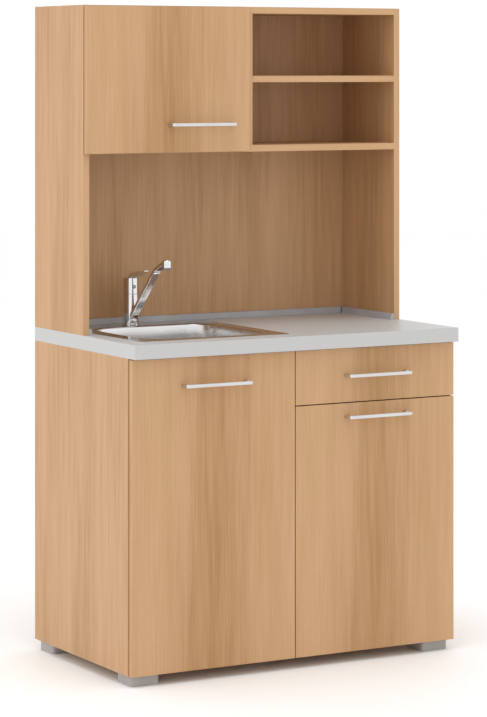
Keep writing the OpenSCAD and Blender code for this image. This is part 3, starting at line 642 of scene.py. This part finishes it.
def makeSink():
    s = sinkSizes
    low, high = boxOf("sink")
    wasteLow, wasteHigh = boxOf("waste_body")
    top = high.z - s["rimHeight"]
    wide, deep = high.x - low.x, high.y - low.y
    rimX, rimY = (low.x + high.x) / 2, (low.y + high.y) / 2
    bowlX, bowlY = (wasteLow.x + wasteHigh.x) / 2, (wasteLow.y + wasteHigh.y) / 2
    rings = [(wide - 2 * inset, deep - 2 * inset, s["rimRadius"] - 0.5 * inset, rimX, rimY, top + rise)
             for inset, rise in s["rim"]]

    def bowlRing(inset, z, radius):
        rings.append((s["bowl"] - 2 * inset, s["bowl"] - 2 * inset, radius, bowlX, bowlY, z))
    for k in range(6):  # the mouth rolls over into the wall
        angle = math.pi / 2 * k / 5
        inset = -s["mouthBead"] * (1 - math.sin(angle))
        bowlRing(inset, top + s["ledge"] - s["mouthBead"] * (1 - math.cos(angle)), s["bowlRadius"] - inset)
    drop, inset = s["upperWall"]  # the wall leans most near its top
    bowlRing(inset * 0.6, top - drop * 0.5, s["bowlRadius"] - 0.9 * inset * 0.6)
    bowlRing(inset, top - drop, s["bowlRadius"] - 0.9 * inset)
    floor = top - s["depth"]
    for k in range(8):  # and the wall into the floor
        angle = math.pi / 2 * k / 7
        inset = s["draft"] + s["fillet"] * (1 - math.cos(angle))
        rise = s["fillet"] * (1 - math.sin(angle)) + s["fall"]
        bowlRing(inset, floor + rise, s["bowlRadius"] - 0.9 * inset)
    hole = s["hole"]
    for radius, rise in (*s["dish"], (hole + 1.5, 0), (hole, -1), (hole, -s["seat"])):
        rings.append((0, 0, radius, bowlX, bowlY, floor + rise))
    piece = bridged("sinkBowl", rings)
    tidyMesh(piece)
    lowest = min(piece.data.polygons, key=lambda side: abs(side.center.z - floor * mm) - side.area)
    if lowest.normal.z < 0:
        editing(piece)
        pickAll()
        bpy.ops.mesh.flip_normals()
        bpy.ops.object.mode_set(mode="OBJECT")
    applyModifier(piece, "SOLIDIFY", thickness=s["sheet"] * mm, offset=-1)
    finish(smooth(piece, 40), "sink", "sinkRim")
    for side in piece.data.polygons:
        side.material_index = 1 if side.center.z > (top - 1.5) * mm else 0
    place(piece, "sink_steel", "sink")
    return bowlX, bowlY, floor


bowlX, bowlY, bowlFloor = makeSink()
print("stage: sink")


wasteSizes = {
    "flange": 54, "bore": 42, "cup": 52, "spigot": 17, "drop": 82, "basket": 39, "lip": 41.5, "holes": 3,
    "holeRings": [(0.36, 6), (0.6, 10), (0.84, 16)],  # share of the basket's radius, count
}


def makeWaste():
    s = wasteSizes
    centre = (bowlX, bowlY, bowlFloor)
    flange, bore, cup, spigot, drop = s["flange"], s["bore"], s["cup"], s["spigot"], s["drop"]
    body = turned("wasteCup", [
        (flange, 0.1), (flange, 0.9, 0.6), (flange - 4, 2, 2), (bore + 1.6, 2, 1), (bore, 0.4, 0.8),
        (bore, 3 - cup, 5), (spigot - 2, 3 - cup, 1), (spigot - 2, -drop), (spigot, -drop),
        (spigot, -cup - 2, 3), (bore - 4, -cup, 3), (bore + 2.9, 5 - cup, 3), (bore + 2.9, 0.1)],
        centre, steps=64)
    place(finish(body, "sinkRim"), "sink_steel", "waste_body")
    basket, lip, floor = s["basket"], s["lip"], 3.3 - cup
    strainer = turned("strainerBasket", [
        (0, -6), (8, -6, 2.5), (8, -10.5, 2.5), (3, -14, 2), (3, floor + 2, 1.5),
        (basket - 1.5, floor + 2, 4), (basket - 1.5, -1, 1), (lip, 0, 0.8), (lip, -2, 0.8),
        (basket, -2.4, 0.5), (basket, floor, 4), (0, floor)],
        centre, steps=64, solid=True)
    drill = [(0, floor - 1), (s["holes"], floor - 1), (s["holes"], floor + 3), (0, floor + 3)]
    drills = []
    for reach, count in s["holeRings"]:
        for k in range(count):
            angle = math.tau * k / count
            where = Vector(centre) + Vector((math.cos(angle), math.sin(angle), 0)) * reach * basket
            drills.append(turned("drill", drill, where, steps=10, solid=True))
    combine(strainer, joined("drills", *drills))
    place(finish(smooth(strainer, 35), "sinkRim"), "sink_steel", "strainer_basket")


makeWaste()
print("stage: waste and strainer")


trapSizes = {
    "pipe": 20, "nut": 27, "bottle": 36, "bottleHeight": 95, "foot": 39, "outletDrop": 26, "outletEnd": 250,
    "nutEdge": 1.5, "ribs": 24, "ribDepth": 0.9,
}


def ribbedNut(name, radius, bore, centre, start, height, axis="Z"):
    # a union nut with grip ribs all round
    edge, end = trapSizes["nutEdge"], start + height
    nut = turned(name, [(bore, start), (radius, start, edge), (radius, end, edge), (bore, end)],
                 centre, axis, steps=2 * trapSizes["ribs"], bends=3)
    middle, way = Vector(centre) * mm, axes[axis]

    def everySecond(side):
        out = side.calc_center_median() - middle
        out -= way * out.dot(way)
        a, b = [out.dot(axes[other]) for other in "XYZ" if other != axis]
        turn = math.atan2(b, a) / math.tau * 2 * trapSizes["ribs"]
        return out.length > (radius - 0.4) * mm and int(math.floor(turn)) % 2 == 0
    editing(nut)
    pick("faces", everySecond)
    bpy.ops.mesh.extrude_faces_move(TRANSFORM_OT_shrink_fatten={"value": -trapSizes["ribDepth"] * mm})
    bpy.ops.object.mode_set(mode="OBJECT")
    return smooth(nut, 35)


def makeTrap():
    s = trapSizes
    low, high = boxOf("trap")
    bottom, top, centre = low.z, high.z, (bowlX, bowlY, 0)
    shoulder = bottom + s["bottleHeight"]
    pipe, bottle, foot = s["pipe"], s["bottle"], s["foot"]
    body = turned("bottle", [
        (0, bottom + 1), (foot - 8, bottom + 1, 2), (foot - 6, bottom, 1), (foot - 1.5, bottom + 1.5, 2),
        (foot - 2, bottom + 17, 1), (bottle, bottom + 19, 1), (bottle, shoulder - 8, 6),
        (pipe + 6, shoulder - 0.5, 5), (pipe, shoulder + 3, 3), (pipe, top - 1),
        (17.1, top - 1), (17.1, bottom + 30), (0, bottom + 30)],
        centre, steps=64, solid=True)
    level = shoulder - s["outletDrop"]
    outletAt = (bowlX, bowlY, level)
    length = s["outletEnd"] - bowlY
    outlet = turned("outletPipe", [
        (pipe, 20), (pipe, length - 14), (pipe + 0.1, length - 9, 1.5), (pipe - 0.2, length, 1),
        (pipe - 2, length, 0.6), (pipe - 2, 20)], outletAt, "Y", steps=48)
    nuts = [
        ribbedNut("nutTop", s["nut"], pipe - 1.5, centre, top - 24, 23.5),
        ribbedNut("nutFoot", foot, foot - 6, centre, bottom + 2.5, 13.5),
        ribbedNut("nutOutlet", pipe + 6, pipe - 1, outletAt, bottle - 3, 24.5, "Y"),
    ]
    place(finish(joined("trap", body, outlet, *nuts), "whitePlastic"), "drain_plastic", "trap")
    low, high = boxOf("waste_nut")
    nut = ribbedNut("wasteNut", (high.x - low.x) / 2, 45.1, centre, low.z, high.z - low.z)
    place(finish(nut, "whitePlastic"), "drain_plastic", "waste_nut")


makeTrap()
print("stage: trap")


tapSizes = {
    "body": 23, "bore": 17.1, "ring": 24, "ringHeight": 6.5, "bodyTop": 87, "head": 87.4, "headHeight": 45,
    "spoutRoot": 19, "spoutWide": 23, "spoutThick": 10, "spoutEdge": 2.2, "reach": 214,
    "kneeBack": 57, "kneeDown": 31, "kneeBend": 80,
    "outletUnder": 166, "outletHigh": 27, "outlet": 12.5, "aerator": 11,
    "slot": 13.6, "lever": 13, "pivot": 10, "pin": 3, "shank": 16, "shankLength": 62,
    "leverOutline": [  # forwards of the pivot, up, radius
        (-3, -4), (11, -4, 2), (11, 12.2, 1), (38, 12.2, 40), (49.4, 14, 40), (74, 24, 60), (95, 31.6, 1.4),
        (95, 35, 1.4), (38, 29, 60), (4, 20, 8), (-3, 14, 3)],
}
ringLow, ringHigh = boxOf("tap_base_ring")
tapX, tapY, tapZ = (ringLow.x + ringHigh.x) / 2, (ringLow.y + ringHigh.y) / 2, ringLow.z
tapAt = Vector((tapX, tapY, tapZ))


def makeTapBody():
    s = tapSizes
    body, bore, ring = s["body"], s["bore"], s["ring"]
    collar = turned("tapBaseRing", [
        (bore, -0.25), (ring, -0.25, 0.3), (ring, s["ringHeight"] - 1.4, 1), (ring - 1.6, s["ringHeight"], 0.8),
        (bore, s["ringHeight"])], tapAt, steps=96)
    place(finish(collar, "chrome"), "tap_chrome", "tap_base_ring")
    start, end = s["ringHeight"] + 0.3, s["bodyTop"]
    shell = turned("tapSpout", [
        (bore, start), (body - 0.9, start), (body - 0.9, start + 1.1), (body, start + 1.1, 0.3),
        (body, end, 0.7), (bore, end)], tapAt, steps=96)
    # the bar rises from the body, bends and meets the outlet; up is half its thickness, square to its length
    half, top = s["spoutThick"] / 2, s["outletUnder"] + s["outletHigh"]
    root, tip = Vector((-body / 2, s["spoutRoot"])), Vector((-s["reach"], top - 6))
    knee = Vector((s["kneeBack"] - s["reach"], top - s["kneeDown"]))
    rootUp, tipUp = [Vector((run.y, -run.x)).normalized() * half for run in (knee - root, tip - knee)]
    kneeUp = (rootUp + tipUp) * (half * half / (half * half + rootUp.dot(tipUp)))
    outline = [root + rootUp, (*(knee + kneeUp), s["kneeBend"] + half), tip + tipUp, tip - tipUp,
               (*(knee - kneeUp), s["kneeBend"] - half), root - rootUp]
    bar = sawn("spoutBar", [(tapY + p[0], tapZ + p[1], *p[2:]) for p in outline], "X",
               tapX - s["spoutWide"] / 2, tapX + s["spoutWide"] / 2, bends=10)
    roundEdges(bar, s["spoutEdge"], 5)
    outletAt = tapAt + Vector((0, -s["reach"], s["outletUnder"]))
    outlet = turned("outlet", [(0, 4), (s["outlet"] - 1.2, 4, 0.5), (s["outlet"], 6.5, 1.5),
                               (s["outlet"], s["outletHigh"], 4.5), (0, s["outletHigh"])],
                    outletAt, steps=64, solid=True, bends=8)
    combine(bar, outlet, "UNION")
    combine(shell, bar, "UNION")
    core = [(0, start - 1), (bore, start - 1), (bore, end + 1), (0, end + 1)]
    combine(shell, turned("spoutCore", core, tapAt, steps=96, solid=True))
    place(finish(smooth(shell, 30), "chrome"), "tap_chrome", "tap_spout")
    aerator = turned("aerator", [
        (0, 2.2), (6.2, 2.2), (6.6, 0.4, 0.3), (s["aerator"] - 0.6, 0, 0.5), (s["aerator"], 4), (0, 4)],
        outletAt, steps=48, solid=True)
    place(finish(aerator, "greyPlastic"), "aerator_plastic", "tap_aerator")


def makeTapHead():
    s = tapSizes
    body, low, high = s["body"], s["head"], s["head"] + s["headHeight"]
    head = turned("tapHead", [
        (0, low + 12), (s["bore"], low + 12), (s["bore"], low), (body, low, 0.7), (body, high, 2.2), (0, high)],
        tapAt, steps=96, solid=True, bends=6)
    slot = s["slot"] / 2
    slotBlock = block(tapX - slot, tapX + slot, tapY - 18, tapY + 12)
    combine(head, sawn("slot", slotBlock, "Z", tapZ + high - 20, tapZ + high + 1))
    pivotAt = tapAt + Vector((0, -4, high - s["pivot"]))
    pinHole = s["pin"] + 0.08
    combine(head, turned("pinHole", [(0, -18.4), (pinHole, -18.4), (pinHole, 18.4), (0, 18.4)],
                         pivotAt, "X", steps=24, solid=True))
    buttonAt = tapAt + Vector((0, -body, low + 0.45 * s["headHeight"]))
    combine(head, turned("buttonHole", [(0, -1), (5.05, -1), (5.05, 2.5), (0, 2.5)],
                         buttonAt, "Y", steps=32, solid=True))
    place(finish(smooth(head, 30), "chrome"), "tap_chrome", "tap_head")
    button = turned("tapButton", [
        (0, 0.25), (2.2, 0.25), (2.5, 0.7, 0.2), (3.6, 0.05, 0.8), (4.9, 0.25, 0.3), (4.9, 2.4), (0, 2.4)],
        buttonAt, "Y", steps=32, solid=True)
    # the button is a dark ring round a white centre disc; that white centre is a painted highlight
    finish(button, "buttonRing", "buttonPaintedHighlight")
    for side in button.data.polygons:
        out = side.center / mm - buttonAt
        side.material_index = 1 if Vector((out.x, out.z)).length < 2.4 and out.y < 1 else 0
    place(button, "index_grey", "tap_index")
    z = tapZ + high - s["pivot"]
    lever = sawn("tapLever", [(tapY - p[0], z + p[1], *p[2:]) for p in s["leverOutline"]], "X",
                 tapX - s["lever"] / 2, tapX + s["lever"] / 2, bends=6)
    roundEdges(lever, 1.3, 3)
    pin = turned("leverPin", [(0, -18), (s["pin"], -18, 0.4), (s["pin"], 18, 0.4), (0, 18)],
                 pivotAt, "X", steps=24, solid=True)
    place(finish(joined("tapLever", lever, pin), "chrome"), "tap_chrome", "tap_lever")


def makeTapFixing():
    s = tapSizes
    shank, length = s["shank"], s["shankLength"]
    thread = [(shank - 0.7 * (k % 2), -6 - k) for k in range(length - 8)]
    coreTop = s["head"] + 10.4
    core = turned("tapCore", [
        (0, coreTop), (17, coreTop, 1), (17, -0.2), (shank, -0.2), *thread, (shank - 1, -length), (0, -length)],
        tapAt, steps=48, solid=True)
    place(finish(core, "brass"), "tap_brass", "tap_core")
    low, high = boxOf("tap_shank_nut")
    washer = turned("washer", [(16.1, high.z - 3), (23, high.z - 3, 0.6), (23, high.z), (16.1, high.z)],
                    (tapX, tapY, 0), steps=48)
    corners = [k * math.pi / 3 for k in range(6)]
    hexagon = [(tapX + 22 * math.cos(corner), tapY + 22 * math.sin(corner)) for corner in corners]
    nut = roundEdges(sawn("shankNut", hexagon, "Z", low.z, high.z - 3), 1.2, 2)
    bore = turned("nutBore", [(0, low.z - 1), (16.1, low.z - 1), (16.1, high.z), (0, high.z)],
                  (tapX, tapY, 0), steps=48, solid=True)
    nut = smooth(combine(nut, bore), 30)
    place(finish(joined("shankNut", nut, washer), "brass"), "tap_brass", "tap_shank_nut")
    low, high = boxOf("tap_inlets")
    pipes = []
    for x in (low.x + 5, high.x - 5):
        pipes.append(turned("inlet", [
            (0, high.z), (5, high.z), (5, low.z + 22, 1), (4.6, low.z + 20, 1), (4.6, low.z + 14),
            (5, low.z + 13, 0.6), (5, low.z, 0.8), (3.8, low.z, 0.5), (3.8, low.z + 20), (0, low.z + 20)],
            (x, tapY, 0), steps=32, solid=True))
    place(finish(joined("tapInlets", *pipes), "brass"), "tap_brass", "tap_inlets")


makeTapBody()
makeTapHead()
makeTapFixing()
print("stage: tap")


hingeSizes = {
    "cup": 17.4, "cupWall": 1.2, "cupDepth": 12, "plateWide": 24, "plateHigh": 56, "plateThick": 1.2,
    "basePlate": 1.5, "baseHigh": 44, "arm": 13, "armLong": 52, "armHigh": 14, "armSheet": 1.5,
}


def makeHingeCup():
    # the cup stands at the origin, with the door's back at y = 0 and the cup going into the door at -y
    s = hingeSizes
    cup, wall, depth, thick = s["cup"], s["cupWall"], s["cupDepth"], s["plateThick"]
    bowl = turned("cup", [
        (0, -depth), (cup, -depth, 2), (cup, thick - 0.2, 0.4), (cup - wall, thick - 0.2, 0.5),
        (cup - wall, wall - depth, 2), (0, wall - depth)], (0, 0, 0), "Y", steps=48, solid=True)
    half, high = s["plateWide"] / 2, s["plateHigh"] / 2
    plate = sawn("cupPlate", block(-half, half, -high, high, 7), "Y", 0, thick)
    roundEdges(plate, 0.4, 2)
    combine(plate, turned("cupHole", [(0, -1), (cup - wall / 2, -1), (cup - wall / 2, 3), (0, 3)],
                          (0, 0, 0), "Y", steps=48, solid=True))
    link = roundEdges(sawn("cupLink", block(-5.5, 5.5, wall - depth, -2.5, 2), "Z", -7, 7), 0.8, 2)
    axle = turned("cupAxle", [(0, -15.5), (1.6, -15.5), (1.6, 15.5), (0, 15.5)],
                  (4, -4.6, 0), "Z", steps=16, solid=True)
    screws = [screwAt((0, thick, z), "+Y", 0.75) for z in (-22.5, 22.5)]
    for screw in screws:
        screw.data.transform(Matrix.Translation((0, 0.0006, 0)))
    return joined("hingeCup", smooth(plate, 35), bowl, link, axle, *screws)


def makeHingeArm():
    # on a left side board's inner face at x = 0, with the board's front edge at y = 0
    s = hingeSizes
    base, high = s["basePlate"], s["baseHigh"] / 2
    plate = sawn("basePlate", [
        (20, -10, 3), (26, -high, 5), (46, -high, 5), (56, -10, 3), (56, 10, 3), (46, high, 5),
        (26, high, 5), (20, 10, 3)], "X", 0, base)
    roundEdges(plate, 0.5, 2)
    wide, half, sheet = base + s["arm"], s["armHigh"] / 2, s["armSheet"]
    arm = sawn("arm", [
        (base, -half), (wide, -half, 3), (wide, half, 3), (base, half), (base, half - sheet),
        (wide - sheet, half - sheet, 1.6), (wide - sheet, sheet - half, 1.6), (base, sheet - half)],
        "Y", 1, 1 + s["armLong"])
    roundEdges(arm, 0.35, 2)
    core = sawn("armCore", block(base, wide - sheet - 0.1, 16, 50, 2), "Z", sheet - half, half - sheet)
    filling = roundEdges(core, 0.6, 2)
    screws = [screwAt((wide, y, 0), "+X", 0.95) for y in (24, 44)]
    screws += [screwAt((base + 0.8, 38, z), "+X", 0.9) for z in (-15.5, 15.5)]
    for screw in screws[:2]:  # sunk a little into the arm
        screw.data.transform(Matrix.Translation((-0.0002, 0, 0)))
    return joined("hingeArm", plate, arm, filling, *screws)


flipX = Matrix.Scale(-1, 4, axes["X"])
hingeCup, hingeArm = makeHingeCup(), makeHingeArm()
hingeDoors = {  # door: [name of the cups, side of the hinge]
    "door_left": ["hingeCupsLeft", -1], "door_right": ["hingeCupsRight", 1],
    "door_upper": ["hingeCupsUpper", -1],
}
arms = []
for door, (name, side) in hingeDoors.items():
    node = "hinge_cups_" + door
    low, high = boxOf(node)
    doorLow, doorHigh = boxOf(door)
    x, half = (low.x + high.x) / 2, hingeSizes["plateHigh"] / 2
    levels = (low.z + half, high.z - half)
    turn = flipX if side > 0 else None
    cups = [copyOf(hingeCup, "cup", (x, doorHigh.y, z), turn) for z in levels]
    place(finish(joined(name, *cups), "nickel"), "fittings_steel", node)
    inner = boxOf("base_side_left")[1].x
    edge = boxOf("hutch_side_left" if door == "door_upper" else "base_side_left")[0].y
    arms += [copyOf(hingeArm, "arm", (side * -inner, edge, z), turn) for z in levels]
place(finish(joined("hingeArms", *arms), "nickel"), "fittings_steel", "hinge_arms")
discard(hingeCup, hingeArm)
print("stage: hinges")


camSizes = {"disc": 7.5, "depth": 13, "bolt": 3, "slot": 1.6, "boardHalf": 9}


def makeCam():
    # a disc that looks up from a board's face
    s = camSizes
    disc = turned("camDisc", [(0, -s["depth"]), (s["disc"], -s["depth"]), (s["disc"], -0.1, 0.7), (0, -0.1)],
                  (0, 0, 0), steps=32, solid=True)
    for a, b in ((s["slot"] / 2, 5), (5, s["slot"] / 2)):
        combine(disc, sawn("camSlot", block(-a, a, -b, b), "Z", -2.5, 1))
    return disc


def solidBoxes(node):
    # the lowest and highest corners of each loose solid of a CAD node, in millimetres
    editing(solidCopy("probe", node))
    bpy.ops.mesh.separate(type="LOOSE")
    bpy.ops.object.mode_set(mode="OBJECT")
    parts = list(bpy.context.selected_objects)
    found = []
    for part in parts:
        corners = [vertex.co / mm for vertex in part.data.vertices]
        found.append([Vector([end(corner[axis] for corner in corners) for axis in range(3)])
                      for end in (min, max)])
    discard(*parts)
    return found


camDisc = makeCam()
cams = []
topBoard = boxOf("hutch_top")[0].z  # the cams above this level look up, the others down
for low, high in solidBoxes("cam_locks"):
    x, ends = high.x - camSizes["disc"], (low.x, high.x - camSizes["disc"])
    if low.x >= 0:
        x, ends = low.x + camSizes["disc"], (low.x + camSizes["disc"], high.x)
    y = (low.y + high.y) / 2
    up = high.z > topBoard
    cams.append(copyOf(camDisc, "cam", (x, y, high.z if up else low.z), facing["up" if up else "down"]))
    z = high.z - camSizes["boardHalf"] if up else low.z + camSizes["boardHalf"]
    bolt = [(0, ends[0]), (camSizes["bolt"], ends[0]), (camSizes["bolt"], ends[1], 0.6), (0, ends[1])]
    cams.append(turned("camBolt", bolt, (0, y, z), "X", steps=16, solid=True))
place(finish(joined("camLocks", *cams), "nickel"), "fittings_steel", "cam_locks")
discard(camDisc)
pins = []
for low, high in solidBoxes("shelf_pins"):
    radius = (high.z - low.z) / 2
    pins.append(turned("pin", [(0, low.x), (radius, low.x, 0.9), (radius, high.x, 0.9), (0, high.x)],
                       (0, (low.y + high.y) / 2, (low.z + high.z) / 2), "X", steps=20, solid=True))
place(finish(joined("shelfPins", *pins), "nickel"), "fittings_steel", "shelf_pins")
discard(screwHead)
finish(nodes["dowels"], "Z")
print("stage: cams and pins")


studio = {
    "floor": tone(255, 255, 255), "floorCloud": tone(253, 253, 252), "floorSize": 40, "sky": 1.01,
    "lights": [  # name, place, aimed at, size, watts
        ("topLight", (-0.6, -1.3, 5.6), (0, -0.1, 0.9), 2.5, 47),
        ("sideLight", (-5.5, 0.6, 2.4), (-0.5, 0, 1.0), 3.0, 30),
    ],
    "cameraPlace": (-3.8017, -6.6804, 1.6011), "cameraTurn": (90, 0, -29.6), "lens": 140.3,
    "shift": (-0.0025, -0.405),
}


def makeFloor():
    bpy.ops.mesh.primitive_plane_add(size=studio["floorSize"], location=(0, 0, 0))
    floor = bpy.context.object
    floor.name = "floor"
    look = Look("floorPaint", Roughness=0.6, Specular_IOR_Level=0.2)
    cloud = look.noise(look.where(), 0.6, 2)
    look.wear(Base_Color=look.mixed(cloud, studio["floor"], studio["floorCloud"]))
    floor.data.materials.append(look.material)


def makeLights():
    world = bpy.data.worlds.new("studioSky")
    world.use_nodes = True
    sky = world.node_tree.nodes["Background"]
    sky.inputs["Color"].default_value = (1, 1, 1, 1)
    sky.inputs["Strength"].default_value = studio["sky"]
    bpy.context.scene.world = world
    for name, where, aim, size, watts in studio["lights"]:
        light = bpy.data.lights.new(name, "AREA")
        light.shape, light.size, light.energy = "DISK", size, watts
        lamp = bpy.data.objects.new(name, light)
        lamp.location = where
        lamp.rotation_euler = (Vector(aim) - Vector(where)).to_track_quat("-Z", "Y").to_euler()
        bpy.context.scene.collection.objects.link(lamp)


def makeCamera():
    lens = bpy.data.cameras.new("camera")
    lens.lens, lens.sensor_width = studio["lens"], 36
    lens.shift_x, lens.shift_y = studio["shift"]
    camera = bpy.data.objects.new("camera", lens)
    camera.location = studio["cameraPlace"]
    camera.rotation_euler = [math.radians(v) for v in studio["cameraTurn"]]
    bpy.context.scene.collection.objects.link(camera)
    bpy.context.scene.camera = camera


makeFloor()
makeLights()
makeCamera()
bpy.context.scene.view_settings.view_transform = "Standard"
print("stage: studio")
